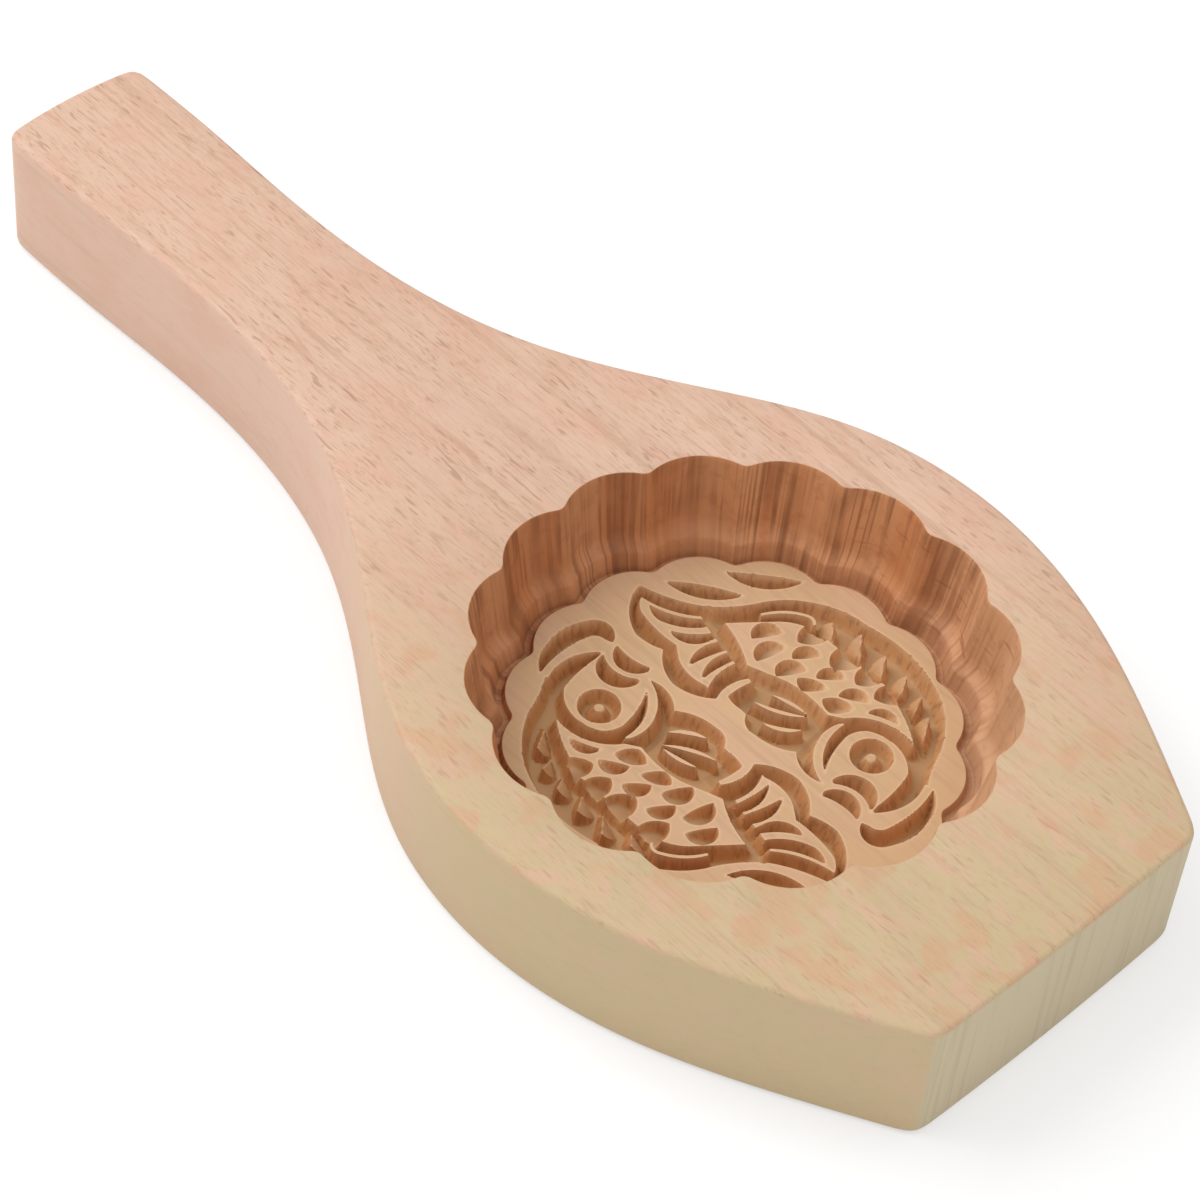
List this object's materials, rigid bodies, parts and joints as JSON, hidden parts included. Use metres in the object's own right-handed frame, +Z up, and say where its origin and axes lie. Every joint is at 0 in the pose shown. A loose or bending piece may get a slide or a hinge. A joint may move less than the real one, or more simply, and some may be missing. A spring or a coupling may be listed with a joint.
{
  "type": "carved mooncake mould board",
  "caption": "One-piece wooden mooncake mould board with a handle and a scalloped cavity whose floor is carved with two carp nose to tail; pressed dough takes the carving and is knocked out.",
  "frame": {"origin": "middle of the box round the board, on its flat underside", "axes": "+X along the board from the handle towards the head with the cavity; +Y across the board; +Z up out of the cavity, the thickness"},
  "size_m": [0.2164, 0.1, 0.023],
  "materials": {
    "wood": "plain-sawn beech, sanded smooth and oiled, tool marks left on the cavity wall"
  },
  "bodies": {
    "root": {"mould_board": "wood"}
  },
  "joints": []
}
